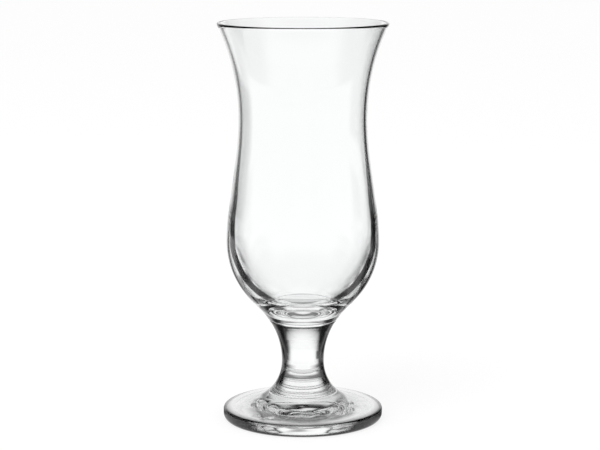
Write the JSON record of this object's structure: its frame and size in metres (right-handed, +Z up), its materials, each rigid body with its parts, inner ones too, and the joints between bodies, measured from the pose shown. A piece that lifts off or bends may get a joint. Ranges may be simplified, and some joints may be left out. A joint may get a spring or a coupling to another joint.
{
  "type": "hurricane glass",
  "caption": "Tall footed drinking glass with a round belly, narrow waist, flared mouth, short solid stem and round foot.",
  "frame": {"origin": "centre of the resting plane under the foot", "axes": "+Z up along the glass's axis, from the foot to the lip; the glass is round about it, so X and Y are free"},
  "size_m": [0.085, 0.085, 0.2],
  "materials": {
    "clear_glass": "fire-polished"
  },
  "bodies": {
    "root": {"foot": "clear_glass", "stem": "clear_glass", "bowl": "clear_glass"}
  },
  "joints": []
}
